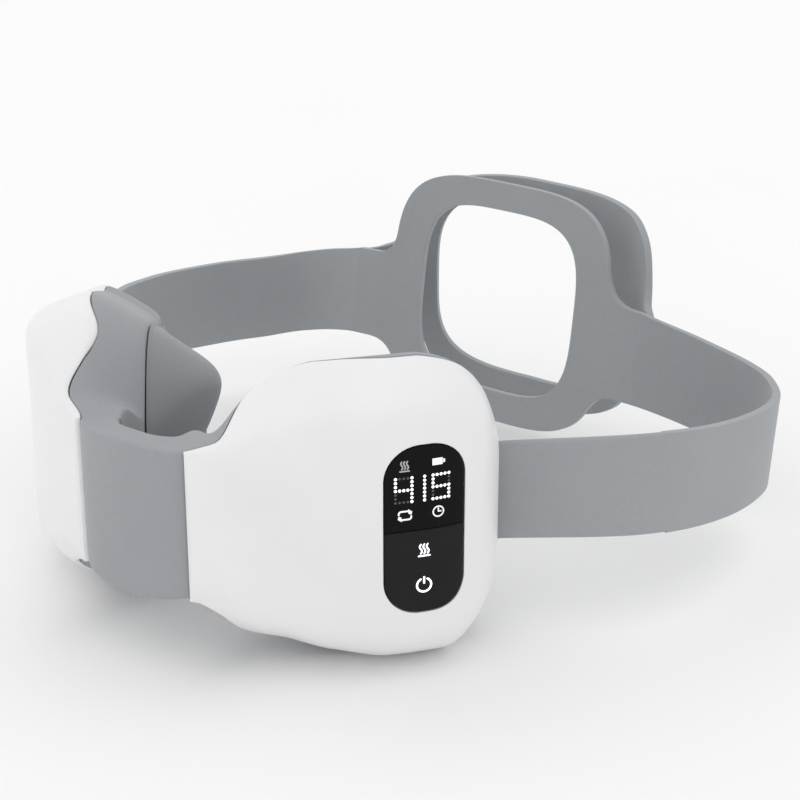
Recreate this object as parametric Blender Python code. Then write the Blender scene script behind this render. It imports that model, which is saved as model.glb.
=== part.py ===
"""Eye massager mask: two eye pods joined by a flexible bridge, an elastic strap
round the head and a two-ply ring at the back.  Metres, +Z up, the floor is z = 0.
The bridge faces -Y, the back ring is at +Y, the display pod is at +X."""
import math
import bpy
import bmesh
from mathutils import Vector

for o in list(bpy.data.objects):
    bpy.data.objects.remove(o, do_unlink=True)

MM = 0.001
Y_MID = 83.95            # half way between the bridge front and the back of the ring

# ---- pods -----------------------------------------------------------------
BX = 16.6                # half the distance between the two necks
ALPHA = math.radians(51.2)
CA, SA = math.cos(ALPHA), math.sin(ALPHA)
POD_LEN = 75.4
ZC = 38.5                # half height of a pod
STRAP_Z = 37.4           # middle of a strap where it enters its pod
NECK_H = 19.2            # half height of a neck
CEN_S = 41.0             # widest place of a pod, along its length
HALF_S = 34.4
DOME = 17.6              # height of the outer shell
BACK = 14.0              # depth of the rear housing
GAP = 0.3

# ---- strap and ring ---------------------------------------------------------
STRAP_T = 2.2
STRAP_H = 13.0           # half of the strap's 26 mm
RING_Y = 151.5
RING_LEAN = -0.15        # the ring's top leans back
RING_ZC = 46.7
EAR_Z = 41.0             # middle height of the strap where it joins the ring
PLY_T = 2.2


def soft_max(a, b, k):
    m = max(a, b)
    return m + k * math.log(math.exp((a - m) / k) + math.exp((b - m) / k))


def smooth(a, b, x):
    t = min(1.0, max(0.0, (x - a) / (b - a)))
    return t * t * (3 - 2 * t)


def half_height(s):
    """Half height of the pod outline at s."""
    if s < 0 or s > POD_LEN:
        return 0.0
    d = abs(s - CEN_S) / HALF_S
    n = 2.7 if s < CEN_S else 3.3
    body = 39.1 * (1 - d ** n) ** (1 / n) if d < 1 else 0.0
    neck = NECK_H + 0.55 * (math.hypot(s, 2.0) - 2.0) if s < 24 else 0.0
    return min(ZC, soft_max(body, neck, 3.0) if s < 24 else body)


def settle(side, s, w, z):
    """Trims a pod place's height: the rear narrows upwards, the lower neck corner lifts, one pod's temple corner drops."""
    h = half_height(s)
    if h < 1:
        return z
    if z > ZC:
        taper = 5.0 * (1 + 0.9 * math.exp(-((s - 14) / 7.0) ** 2)) * smooth(2, 12, s)
        less = taper * (min(15.0, max(0.0, -w)) / 14.0) ** 1.25
        if side < 0:
            less += 7.0 * smooth(32, 60, s) * (1 - smooth(64, 73, s))
        return ZC + (z - ZC) * (1 - less / max(h, 22.0))
    low = h - 4.2 * (1 - smooth(26, 46, s)) * smooth(8, 24, s) + 1.5 * smooth(48, 58, s) * (1 - smooth(62, 70, s))
    return ZC + (z - ZC) * (1 - (h - min(ZC, low)) / max(h, 22.0))


def pod_xyz(side, s, w, z, raw=False):
    """Pod place (s along the face from the neck, w outward, z up) to the object's frame."""
    if not raw:
        z = settle(side, s, w, z)
    return (side * (BX + s * CA + w * SA), s * SA - w * CA, z)


def reach(inside, cx, cz, ang, far=140.0):
    """How far a star shape reaches from its centre at an angle."""
    lo, hi = 0.0, far
    for _ in range(44):
        m = (lo + hi) / 2
        if inside(cx + m * math.cos(ang), cz + m * math.sin(ang)):
            lo = m
        else:
            hi = m
    return lo


def in_pod(s, z):
    return 0 <= s <= POD_LEN and abs(z - ZC) <= half_height(s)


def pod_angles(n):
    """Angles round the pod, closer together where the neck is."""
    out = []
    for i in range(n):
        a = 2 * math.pi * i / n
        out.append(a - 0.16 * math.sin(2 * a) * (1 if math.cos(a) < 0 else 0.6))
    return out


N_POD = 48
POD_ANG = pod_angles(N_POD)
POD_REACH = [reach(in_pod, CEN_S, ZC, a) for a in POD_ANG]


def ridge(s):
    """Height of the shell along its middle line: a ramp from the neck, a flat crown, a round end."""
    rise = 1 - (1 - min(1.0, max(0.0, s / 41.0))) ** 1.9
    fall = (1 - max(0.0, (s - 41.0) / (POD_LEN - 41.0)) ** 4.2) ** 0.5 if s < POD_LEN else 0.0
    return (DOME - 1.6) * rise * fall


def dome_sz(s, z):
    """Height of the outer shell above its rim plane: sections across the pod, scaled along it."""
    h = half_height(s)
    v = min(1.0, abs(z - ZC) / h) if h > 0 else 1.0
    return 1.6 + ridge(s) * (1 - max(0.0, (v - 0.65) / 0.35) ** 3)


def dome_at(tau, ang, r):
    return dome_sz(CEN_S + tau * r * math.cos(ang), ZC + tau * r * math.sin(ang))


# ---- mesh helpers -----------------------------------------------------------
def material(name, rgb, rough, metal=0.0, clear=0.0):
    m = bpy.data.materials.new(name)
    m.use_nodes = True
    b = m.node_tree.nodes["Principled BSDF"]
    b.inputs["Base Color"].default_value = (*rgb, 1)
    b.inputs["Roughness"].default_value = rough
    b.inputs["Metallic"].default_value = metal
    b.inputs["Coat Weight"].default_value = clear
    m.diffuse_color = (*rgb, 1)
    return m


def finish(name, verts, faces, look, round_it=False, hide=False):
    bm = bmesh.new()
    vs = [bm.verts.new(((x) * MM, (y - Y_MID) * MM, z * MM)) for x, y, z in verts]
    for f in faces:
        bm.faces.new([vs[i] for i in f])
    bmesh.ops.remove_doubles(bm, verts=bm.verts, dist=1e-6)
    bmesh.ops.recalc_face_normals(bm, faces=bm.faces)
    me = bpy.data.meshes.new(name)
    bm.to_mesh(me)
    bm.free()
    o = bpy.data.objects.new(name, me)
    bpy.context.scene.collection.objects.link(o)
    if look is not None:
        me.materials.append(material(name + "_look", *look))
    for p in me.polygons:
        p.use_smooth = round_it
    if hide:
        o.hide_render = True
        o.display_type = "WIRE"
    return o


def rings_solid(rings, start=None, end=None):
    """Closed skin through rings of equal length, with a point or a flat cap at each end."""
    n = len(rings[0])
    verts = [p for r in rings for p in r]
    faces = []
    for k in range(len(rings) - 1):
        for i in range(n):
            j = (i + 1) % n
            faces.append((k * n + i, k * n + j, (k + 1) * n + j, (k + 1) * n + i))
    last = (len(rings) - 1) * n
    if start is not None:
        verts.append(start)
        c = len(verts) - 1
        faces += [(c, (i + 1) % n, i) for i in range(n)]
    else:
        faces.append(tuple(range(n)))
    if end is not None:
        verts.append(end)
        c = len(verts) - 1
        faces += [(c, last + i, last + (i + 1) % n) for i in range(n)]
    else:
        faces.append(tuple(last + i for i in range(n)))
    return verts, faces


def torus_grid(loops):
    """Closed skin through loops that come back to the first one."""
    n, m = len(loops[0]), len(loops)
    verts = [p for r in loops for p in r]
    faces = []
    for k in range(m):
        q = (k + 1) % m
        for i in range(n):
            j = (i + 1) % n
            faces.append((k * n + i, k * n + j, q * n + j, q * n + i))
    return verts, faces


def pod_box(side, s0, s1, w0, w1, z0, z1):
    v = [pod_xyz(side, s, w, z, True) for w in (w0, w1) for s, z in ((s0, z0), (s1, z0), (s1, z1), (s0, z1))]
    f = [(0, 1, 2, 3), (4, 5, 6, 7), (0, 1, 5, 4), (1, 2, 6, 5), (2, 3, 7, 6), (3, 0, 4, 7)]
    return v, f


def pod_round(side, s, z, steps, n=16):
    """Solid turned about the pod's outward direction: steps are (radius, w)."""
    rings = [[pod_xyz(side, s + r * math.cos(2 * math.pi * i / n), w, z + r * math.sin(2 * math.pi * i / n), True)
              for i in range(n)] for r, w in steps]
    return rings_solid(rings)


def pod_turned(side, s, w, steps, n=16):
    """Solid turned about an upright line in the pod: steps are (radius, z)."""
    rings = [[pod_xyz(side, s + r * math.cos(2 * math.pi * i / n), w + r * math.sin(2 * math.pi * i / n), z, True)
              for i in range(n)] for r, z in steps]
    return rings_solid(rings)


def lens_outline(s0, s1, z0, z1, r_low, r_high, n=7):
    """Rounded rectangle; a radius of 0 is a square corner."""
    pts = []
    for cx, cz, a0, r in ((s1, z0, -90, r_low), (s1, z1, 0, r_high), (s0, z1, 90, r_high), (s0, z0, 180, r_low)):
        sx = -1 if cx == s1 else 1
        sz = -1 if cz == z1 else 1
        if r == 0:
            pts.append((cx, cz))
            continue
        for k in range(n):
            a = math.radians(a0 + 90 * k / (n - 1))
            pts.append((cx + sx * r + r * math.cos(a), cz + sz * r + r * math.sin(a)))
    return pts


def prism(side, pts, w0, w1):
    rings = [[pod_xyz(side, s, w, z) for s, z in pts] for w in (w0, w1)]
    return rings_solid(rings)


def cut(target, tool, how="DIFFERENCE"):
    m = target.modifiers.new(how.lower() + "_" + tool.name, "BOOLEAN")
    m.operation = how
    m.solver = "EXACT"
    m.object = tool


# ---- looks: colour, roughness, metal, coat ------------------------------------
WHITE = ((0.86, 0.86, 0.87), 0.32, 0.0, 0.2)
GREY = ((0.30, 0.32, 0.34), 0.62)
SOFT = ((0.27, 0.29, 0.31), 0.78)
BLACK = ((0.01, 0.01, 0.012), 0.12, 0.0, 0.6)
METAL = ((0.62, 0.63, 0.65), 0.28, 1.0)

# display window and key, in pod places
WIN_S0, WIN_S1 = 43.3, 63.3
WIN_Z0, WIN_Z1 = 17.4, 60.8
WIN_SPLIT = 39.0
WIN_R = 8.6
SCREWS = ((24.0, 57.0), (24.0, 19.5))


def shell(side, name, window):
    outer = []
    for tau in (1.0, 0.985, 0.955, 0.90, 0.82, 0.70, 0.52, 0.28):
        ring = []
        for a, r in zip(POD_ANG, POD_REACH):
            w = dome_at(tau, a, r) if tau < 1 else 1.6
            ring.append(pod_xyz(side, CEN_S + tau * r * math.cos(a), w, ZC + tau * r * math.sin(a)))
        outer.append(ring)
    inner = []
    for tau in (1.0, 0.955, 0.90, 0.82, 0.70, 0.52, 0.28):
        ring = []
        for a, r in zip(POD_ANG, POD_REACH):
            q = (r - 2.0) / r * tau
            w = max(0.35, dome_at(tau, a, r) - 2.2)
            ring.append(pod_xyz(side, CEN_S + q * r * math.cos(a), w, ZC + q * r * math.sin(a)))
        inner.append(ring)
    rim_out = [pod_xyz(side, CEN_S + r * math.cos(a), 0.0, ZC + r * math.sin(a)) for a, r in zip(POD_ANG, POD_REACH)]
    rim_in = [pod_xyz(side, CEN_S + (r - 2) * math.cos(a), 0.0, ZC + (r - 2) * math.sin(a)) for a, r in zip(POD_ANG, POD_REACH)]
    rings = outer[::-1] + [rim_out, rim_in] + inner
    v, f = rings_solid(rings, pod_xyz(side, CEN_S, dome_sz(CEN_S, ZC), ZC), pod_xyz(side, CEN_S, dome_sz(CEN_S, ZC) - 2.2, ZC))
    o = finish(name, v, f, WHITE, True)
    for k, (s, z) in enumerate(SCREWS):
        top = dome_sz(s, z) - 1.0
        v, f = pod_round(side, s, z, ((2.6, -11.6), (2.6, top)))
        cut(o, finish(f"post_{name}_{k}", v, f, None, hide=True), "UNION")
        v, f = pod_round(side, s, z, ((1.15, -12.5), (1.15, -4.0)), 12)
        cut(o, finish(f"bore_{name}_{k}", v, f, None, hide=True))
    if window:
        g = 0.3
        v, f = prism(side, lens_outline(WIN_S0 - g, WIN_S1 + g, WIN_Z0 - g, WIN_Z1 + g, WIN_R + g, WIN_R + g), 6.0, 24.0)
        cut(o, finish("window_cut", v, f, None, hide=True))
    return o


def depth_at(s):
    """Depth of the rear housing: shallow at the neck, full behind the pod."""
    return 7.2 + (BACK - 7.2) * smooth(0.5, 14.0, s)


def housing(side, name, charging):
    def ring(inset, tau, w_of):
        out = []
        for a, r in zip(POD_ANG, POD_REACH):
            q = (r - inset) * tau
            s = CEN_S + q * math.cos(a)
            out.append(pod_xyz(side, s, w_of(max(0.0, s)), ZC + q * math.sin(a)))
        return out
    rings = [ring(0, 0.4, lambda s: -depth_at(s)), ring(0, 0.75, lambda s: -depth_at(s)),
             ring(1.2, 1, lambda s: -depth_at(s)), ring(0, 1, lambda s: -depth_at(s) + 1.2),
             ring(0, 1, lambda s: -GAP), ring(2.2, 1, lambda s: -GAP),
             ring(2.2, 1, lambda s: -depth_at(s) + 2.0), ring(0, 0.75, lambda s: -depth_at(s) + 2.0),
             ring(0, 0.4, lambda s: -depth_at(s) + 2.0)]
    v, f = rings_solid(rings, pod_xyz(side, CEN_S, -BACK, ZC), pod_xyz(side, CEN_S, -BACK + 2, ZC))
    o = finish(name, v, f, GREY, True)
    for k, (s, z) in enumerate(SCREWS):
        v, f = pod_round(side, s, z, ((1.35, -16.0), (1.35, -10.0)), 12)
        cut(o, finish(f"hole_{name}_{k}", v, f, None, hide=True))
    v, f = pod_box(side, 68, 80, -5.5, -2.5, STRAP_Z - 13.4, STRAP_Z + 13.4)
    cut(o, finish(f"strap_slot_{name}", v, f, None, hide=True))
    v, f = pod_box(side, -2, 5, -4.2, -3.0, ZC - 9.4, ZC + 9.4)
    cut(o, finish(f"cable_slot_{name}", v, f, None, hide=True))
    if charging:
        v, f = pod_box(side, 36.2, 45.8, -9.2, -5.2, -2, 5)
        cut(o, finish(f"port_{name}", v, f, None, hide=True))
    return o


# face cushion: thick beside the nose, thin at the temple, a hollow for the eye
CU_S, CU_A, CU_B = 42.2, 32.0, 36.2


def in_cushion(s, z):
    d = abs(s - CU_S) / CU_A
    e = abs(z - ZC) / CU_B
    return d ** 2.9 + e ** 2.9 <= 1


CU_ANG = [2 * math.pi * i / 40 for i in range(40)]
CU_REACH = [reach(in_cushion, CU_S, ZC, a) for a in CU_ANG]
CU_STEPS = ((1.0, 0.05), (0.94, 0.18), (0.86, 0.35), (0.77, 0.54), (0.68, 0.76), (0.57, 0.93), (0.45, 0.98), (0.31, 0.80), (0.16, 0.58))


def cushion_w(s, z, share):
    """Where the cushion's face side is: never past the nose plane."""
    full = 18.6 - 10.0 * smooth(30, 74, s)
    notch = 1 - 0.30 * math.exp(-((z - ZC) / 8.0) ** 2) * (1 - smooth(24, 44, s))
    w = -(BACK + 0.35) - full * share * notch
    nose = -(BX + CA * s - 11.0) / SA
    return max(w, min(nose, -(BACK + 0.9)))


def cushion(side, name):
    def ring(tau, w_of, inset=0.0):
        out = []
        for a, r in zip(CU_ANG, CU_REACH):
            q = (r - inset) * tau
            s, z = CU_S + q * math.cos(a), ZC + q * math.sin(a)
            out.append(pod_xyz(side, s, w_of(s, z), z))
        return out
    front = -(BACK + 0.35)
    rings = [ring(0.5, lambda s, z: front - 1.7, 4.5), ring(1, lambda s, z: front - 1.7, 4.5),
             ring(1, lambda s, z: front, 4.5), ring(1, lambda s, z: front)]
    for tau, share in CU_STEPS:
        rings.append(ring(tau, lambda s, z, share=share: cushion_w(s, z, share)))
    v, f = rings_solid(rings, pod_xyz(side, CU_S, front - 1.7, ZC), pod_xyz(side, CU_S, cushion_w(CU_S, ZC, 0.52), ZC))
    return finish(name, v, f, SOFT, True)


def patch(side, pts, name, look, lift=0.05, thick=1.5):
    """A piece of the dome's own skin, cut to an outline."""
    cs = sum(p[0] for p in pts) / len(pts)
    cz = sum(p[1] for p in pts) / len(pts)
    top, low = [], []
    for tau in (0.5, 1.0):
        top.append([(cs + tau * (s - cs), cz + tau * (z - cz)) for s, z in pts])
    rings = [[pod_xyz(side, s, dome_sz(s, z) + lift, z) for s, z in r] for r in top]
    rings += [[pod_xyz(side, s, dome_sz(s, z) + lift - thick, z) for s, z in r] for r in top[::-1]]
    v, f = rings_solid(rings, pod_xyz(side, cs, dome_sz(cs, cz) + lift, cz), pod_xyz(side, cs, dome_sz(cs, cz) + lift - thick, cz))
    return finish(name, v, f, look, True)


def motor(side, tag):
    s, w = 33.0, -6.6
    v, f = pod_turned(side, s, w, ((0.95, 33.5), (3.9, 33.5), (3.9, 49.5), (0.95, 49.5), (0.95, 46.0)), 18)
    # the near end has a short bore for the shaft
    rings = [[pod_xyz(side, s + r * math.cos(2 * math.pi * i / 18), w + r * math.sin(2 * math.pi * i / 18), z, True)
              for i in range(18)] for r, z in ((0.95, 36.5), (0.95, 33.5), (3.9, 33.5), (3.9, 49.5))]
    v, f = rings_solid(rings)
    can = finish(f"motor_can_{tag}", v, f, METAL, True)
    n = 18
    weight = []
    for i in range(n):
        a = 2 * math.pi * i / n
        r = 3.5 if math.cos(a) > 0.05 else 1.4
        weight.append((s + r * math.cos(a), w + r * math.sin(a)))
    prof = [[pod_xyz(side, p, q, z, True) for p, q in weight] for z in (28.6, 32.6)]
    thin = [[pod_xyz(side, s + 0.7 * math.cos(2 * math.pi * i / n), w + 0.7 * math.sin(2 * math.pi * i / n), z, True) for i in range(n)]
            for z in (32.6, 36.0)]
    v, f = rings_solid([prof[0], prof[1], thin[0], thin[1]])
    rotor = finish(f"motor_rotor_{tag}", v, f, METAL)
    return can, rotor, pod_xyz(side, s, w, 31.0, True)


def pod(side, tag, display):
    shell(side, f"shell_{tag}", display)
    housing(side, f"housing_{tag}", display)
    cushion(side, f"cushion_{tag}")
    pts = lens_outline(26.0, 60.0, 20.0, 57.0, 8, 8, 5)
    v, f = prism(side, pts, -(BACK + 1.4), -(BACK + 0.8))
    finish(f"heat_film_{tag}", v, f, ((0.55, 0.30, 0.12), 0.5))
    motor(side, tag)
    v, f = pod_box(side, 64.2, 69.8, -7.6, -5.4, ZC - 11.5, ZC + 11.5)
    finish(f"strap_anchor_{tag}", v, f, ((0.12, 0.12, 0.13), 0.5))
    for k, (s, z) in enumerate(SCREWS):
        v, f = pod_round(side, s, z, ((2.1, -15.4), (2.1, -14.2), (0.95, -14.2), (0.95, -5.0)), 12)
        finish(f"screw_{tag}_{k + 1}", v, f, METAL)


pod(1, "right", True)
pod(-1, "left", False)

# display window above, rocker key below, both in the right pod's dome
up = lens_outline(WIN_S0, WIN_S1, WIN_SPLIT + 0.15, WIN_Z1, 0, WIN_R)
down = lens_outline(WIN_S0, WIN_S1, WIN_Z0, WIN_SPLIT - 0.15, WIN_R, 0)
patch(1, up, "display_window", BLACK)
patch(1, down, "rocker_key", ((0.025, 0.025, 0.028), 0.3, 0.0, 0.3))
v, f = pod_box(1, 45.5, 61.0, 9.6, 12.4, 40.5, 57.5)
finish("display_module", v, f, ((0.03, 0.03, 0.035), 0.4))
v, f = pod_box(1, 30.0, 63.0, 2.4, 4.0, 16.0, 61.0)
finish("main_board", v, f, ((0.02, 0.16, 0.07), 0.5))
for nm, z in (("switch_heat", 33.5), ("switch_power", 22.5)):
    v, f = pod_round(1, 53.3, z, ((3.0, 4.3), (3.0, 7.8), (1.2, 7.8), (1.2, dome_sz(53.3, z) - 2.3)), 12)
    finish(nm, v, f, ((0.10, 0.10, 0.11), 0.4))
v, f = pod_box(1, 36.55, 45.45, -8.8, -5.6, 0.4, 7.6)
inlet = finish("charging_inlet", v, f, METAL)
v, f = pod_box(1, 36.95, 45.05, -8.4, -6.0, -1, 6.4)
cut(inlet, finish("inlet_mouth", v, f, None, hide=True))
v, f = pod_box(-1, 40.5, 61.0, -10.4, -4.0, 14.0, 54.0)
finish("battery", v, f, ((0.75, 0.78, 0.80), 0.35, 0.6))


# ---- bridge -------------------------------------------------------------------
NECK_W = -3.6
NX, NY = BX + NECK_W * SA, -NECK_W * CA
PULL = 7.0


def bridge_at(t):
    """Plan place and direction on the bridge's middle line, t from 0 to 1."""
    p = [(-NX, NY), (-NX + PULL * CA, NY - PULL * SA), (NX - PULL * CA, NY - PULL * SA), (NX, NY)]
    c = [(1 - t) ** 3, 3 * t * (1 - t) ** 2, 3 * t * t * (1 - t), t ** 3]
    d = [-3 * (1 - t) ** 2, 3 * (1 - t) ** 2 - 6 * t * (1 - t), 6 * t * (1 - t) - 3 * t * t, 3 * t * t]
    x, y = sum(a * q[0] for a, q in zip(c, p)), sum(a * q[1] for a, q in zip(c, p))
    dx, dy = sum(a * q[0] for a, q in zip(d, p)), sum(a * q[1] for a, q in zip(d, p))
    n = math.hypot(dx, dy)
    return x, y, dx / n, dy / n


def band_rings(ts, half_h, half_t, bev):
    out = []
    for t in ts:
        x, y, dx, dy = bridge_at(t)
        hh = half_h(t) if callable(half_h) else half_h
        ring = []
        for w, z in ((half_t, hh - bev), (half_t - bev, hh), (-half_t + bev, hh), (-half_t, hh - bev),
                     (-half_t, -hh + bev), (-half_t + bev, -hh), (half_t - bev, -hh), (half_t, -hh + bev)):
            ring.append((x + dy * w, y - dx * w, ZC + z))
        out.append(ring)
    return out


TS = [0.028 + 0.944 * i / 16 for i in range(17)]
outer = band_rings(TS, lambda t: NECK_H + 1.0 * math.sin(math.pi * t) ** 2, 3.6, 0.8)
inner = band_rings(TS, 9.6, 0.6, 0.1)
loops = [list(r) for r in outer] + [list(r) for r in inner[::-1]]
v, f = torus_grid(loops)
finish("bridge_band", v, f, GREY, True)
TS2 = [i / 16 for i in range(17)]
cable = band_rings(TS2, 8.6, 0.2, 0.02)
stub = []
for side in (-1, 1):
    stub.append([pod_xyz(side, 9.0, NECK_W + w, ZC + z, True) for w, z in
                 ((0.2, 8.58), (0.18, 8.6), (-0.18, 8.6), (-0.2, 8.58), (-0.2, -8.58), (-0.18, -8.6), (0.18, -8.6), (0.2, -8.58))])
v, f = rings_solid([stub[0]] + cable[1:-1] + [stub[1]])
finish("flex_cable", v, f, ((0.55, 0.28, 0.06), 0.5))


# ---- strap --------------------------------------------------------------------
def spline(pts, per):
    """Smooth line through points of any size."""
    out = []
    for i in range(len(pts) - 1):
        p0 = pts[max(0, i - 1)]
        p1, p2 = pts[i], pts[i + 1]
        p3 = pts[min(len(pts) - 1, i + 2)]
        for k in range(per):
            t = k / per
            out.append(tuple(0.5 * (2 * b + (c - a) * t + (2 * a - 5 * b + 4 * c - d) * t * t
                                    + (3 * b - a - 3 * c + d) * t ** 3) for a, b, c, d in zip(p0, p1, p2, p3)))
    out.append(tuple(pts[-1]))
    return out


def ring_y(z):
    return RING_Y - RING_LEAN * (z - RING_ZC)


# plan x, plan y, height of the middle, lean of the band (outward, radians)
POD_END = pod_xyz(1, 65.5, -4.0, 0, True)
POD_OUT = pod_xyz(1, 78.0, -3.4, 0, True)
WAY = [(POD_END[0], POD_END[1], STRAP_Z, 0.0), (POD_OUT[0], POD_OUT[1], STRAP_Z, 0.0), (89.6, 84.5, 38.8, -0.10),
       (99.0, 110.0, 35.2, -0.02), (99.4, 136.4, 31.9, 0.06), (92.5, 150.0, 31.6, 0.04), (80.8, 155.0, 33.0, 0.03),
       (64.0, 154.0, 37.2, 0.08), (50.0, 151.0, 40.7, 0.14)]


def strap_frames():
    line = spline(WAY, 4)
    out = []
    for i, (x, y, z, lean) in enumerate(line):
        a, b = line[max(0, i - 1)], line[min(len(line) - 1, i + 1)]
        dx, dy = b[0] - a[0], b[1] - a[1]
        n = math.hypot(dx, dy)
        out.append((x, y, z, dy / n, -dx / n, lean))
    return out


FRAMES = strap_frames()
SPLIT = 9


def strap(side, a, b, name, trim0=0.0, trim1=0.0):
    rings = []
    for i in range(a, b + 1):
        x, y, z, nx, ny, lean = FRAMES[i]
        if i == a and trim0:
            x, y = x - ny * trim0, y + nx * trim0
        if i == b and trim1:
            x, y = x + ny * trim1, y - nx * trim1
        c, q = math.cos(lean), math.sin(lean)
        ring = []
        h, t = STRAP_H, STRAP_T / 2
        for w, v in ((t, h - 0.5), (t - 0.5, h), (-t + 0.5, h), (-t, h - 0.5), (-t, -h + 0.5), (-t + 0.5, -h), (t - 0.5, -h), (t, -h + 0.5)):
            out = w * c + v * q
            up_ = -w * q + v * c
            ring.append((side * (x + nx * out), y + ny * out, z + up_))
        rings.append(ring)
    v, f = rings_solid(rings)
    return finish(name, v, f, GREY, True)


for side, tag in ((1, "right"), (-1, "left")):
    strap(side, 0, SPLIT, f"strap_front_{tag}", 0, 0.15)
    strap(side, SPLIT, len(FRAMES) - 1, f"strap_rear_{tag}", 0.15, 0.25)


# ---- back ring -----------------------------------------------------------------
def ring_ply(name, a, b, n, ear_x, open_a, open_b, zc, open_zc, plan, count):
    """A band ring: outline and opening in the flat, then laid on a plan curve."""
    loose = ear_x > 52                       # the outer ply, fitted closer low down and on one side

    def outside(x, z):
        m, u = abs(x), z - zc
        if m > ear_x:
            return False
        wide, tall = a, b
        if loose:
            wide = a - 12.5 if u < 0 else (a - 8.5 if x < 0 else a)
            tall = b - 2.6 * smooth(0, 36, m) if x < 0 < u else b
        fx, fz = m / wide, abs(u) / tall
        f = (fx ** n + fz ** n) ** (1 / n) + 1e-9
        d1 = (f - 1) / max(1e-6, math.hypot((fx / f) ** (n - 1) / wide, (fz / f) ** (n - 1) / tall))
        d2 = abs(z - EAR_Z) - (STRAP_H + 0.2)
        k = 11.0 if u > 0 and x > 0 else 7.5
        h = max(k - abs(d1 - d2), 0.0) / k
        return min(d1, d2) - h * h * k / 4 <= 0

    def hole(x, z):
        wide = open_a - 3.5 if loose and x > 0 else open_a
        tall = open_b - 1.6 if loose and z < open_zc else open_b
        return (abs(x) / wide) ** 3.6 + (abs(z - open_zc) / tall) ** 3.6 <= 1
    zo = (zc + open_zc) / 2
    ang = [2 * math.pi * (i + 0.5) / count for i in range(count)]
    ro = [reach(outside, 0, zo, t) for t in ang]
    ri = [reach(hole, 0, zo, t) for t in ang]

    def loop(share, off):
        out = []
        for t, p, q in zip(ang, ro, ri):
            r = q + (p - q) * share
            x, z = r * math.cos(t), zo + r * math.sin(t)
            out.append(plan(x, z, off))
        return out
    h = PLY_T / 2
    loops = [loop(0, h - 0.4), loop(0.06, h), loop(0.5, h), loop(0.94, h), loop(1, h - 0.4),
             loop(1, -h + 0.4), loop(0.94, -h), loop(0.5, -h), loop(0.06, -h), loop(0, -h + 0.4)]
    v, f = torus_grid(loops)
    return finish(name, v, f, GREY, True)


def plan_inner(x, z, off):
    bow = 1.6 * (1 - (x / 50) ** 2)
    return (x, ring_y(z) + bow - off, z)


ARCH = spline([(0.0, 172.2), (20.0, 171.4), (33.0, 168.8), (41.0, 164.4), (45.6, 159.2), (47.8, 154.6)], 6)
ARCH_LEN = [0.0]
for p, q in zip(ARCH, ARCH[1:]):
    ARCH_LEN.append(ARCH_LEN[-1] + math.dist(p, q))


def plan_outer(u, z, off):
    """u is the length along the outer ply's curve from its middle."""
    s, m = abs(u), 1 if u >= 0 else -1
    k = 0
    while k < len(ARCH_LEN) - 2 and ARCH_LEN[k + 1] < s:
        k += 1
    t = (s - ARCH_LEN[k]) / (ARCH_LEN[k + 1] - ARCH_LEN[k])
    x = ARCH[k][0] + t * (ARCH[k + 1][0] - ARCH[k][0])
    y = ARCH[k][1] + t * (ARCH[k + 1][1] - ARCH[k][1])
    dx, dy = ARCH[k + 1][0] - ARCH[k][0], ARCH[k + 1][1] - ARCH[k][1]
    n = math.hypot(dx, dy)
    x, y = x + off * dy / n, y - off * dx / n
    return (m * x, y, z)


ring_ply("ring_inner_ply", 37.0, 34.8, 3.8, 49.4, 26.8, 26.4, 46.7, 47.2, plan_inner, 72)
ring_ply("ring_outer_ply", 51.0, 36.0, 3.8, ARCH_LEN[-1], 33.0, 28.0, 43.6, 43.4, plan_outer, 72)


# ---- places of the moving pieces ---------------------------------------------
def set_origin(name, x, y, z):
    """Puts an object's origin on its joint without moving the piece."""
    o = bpy.data.objects[name]
    p = Vector((x * MM, (y - Y_MID) * MM, z * MM))
    for v in o.data.vertices:
        v.co -= p
    o.location = p


for side, tag in ((1, "right"), (-1, "left")):
    set_origin(f"motor_rotor_{tag}", *pod_xyz(side, 33.0, -6.6, 31.0, True))
set_origin("rocker_key", *pod_xyz(1, (WIN_S0 + WIN_S1) / 2, 16.4, 28.2, True))
for n_ in ("ring_inner_ply", "ring_outer_ply"):
    set_origin(n_, 0.0, RING_Y, RING_ZC)
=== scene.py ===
"""Looks for the eye massager mask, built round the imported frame."""
import math
import bpy
import bmesh
import numpy as np
from mathutils import Vector, Matrix


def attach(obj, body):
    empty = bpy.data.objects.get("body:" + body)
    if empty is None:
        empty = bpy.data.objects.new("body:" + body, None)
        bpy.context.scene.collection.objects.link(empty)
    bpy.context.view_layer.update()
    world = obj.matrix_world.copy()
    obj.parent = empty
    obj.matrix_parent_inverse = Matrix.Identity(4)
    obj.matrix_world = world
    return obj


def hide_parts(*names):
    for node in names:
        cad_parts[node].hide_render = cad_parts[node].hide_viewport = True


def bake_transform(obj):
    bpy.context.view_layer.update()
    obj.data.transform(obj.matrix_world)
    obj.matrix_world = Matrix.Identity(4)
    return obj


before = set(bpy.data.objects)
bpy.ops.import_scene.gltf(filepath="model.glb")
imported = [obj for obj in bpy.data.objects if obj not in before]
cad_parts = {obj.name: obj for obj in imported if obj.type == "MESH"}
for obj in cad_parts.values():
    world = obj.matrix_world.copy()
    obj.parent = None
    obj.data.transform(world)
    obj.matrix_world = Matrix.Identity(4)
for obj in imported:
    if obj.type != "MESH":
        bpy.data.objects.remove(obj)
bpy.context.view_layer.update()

MM = 0.001
Y_MID = 83.95
BX = 16.6
ALPHA = math.radians(51.2)
CA, SA = math.cos(ALPHA), math.sin(ALPHA)
POD_LEN, ZC, NECK_H = 75.4, 38.5, 19.2
CEN_S, HALF_S = 41.0, 34.4
DOME, BACK = 17.6, 14.0
WIN_S0, WIN_S1, WIN_Z0, WIN_Z1, WIN_SPLIT, WIN_R = 43.3, 62.9, 18.2, 60.9, 39.6, 8.6
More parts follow.
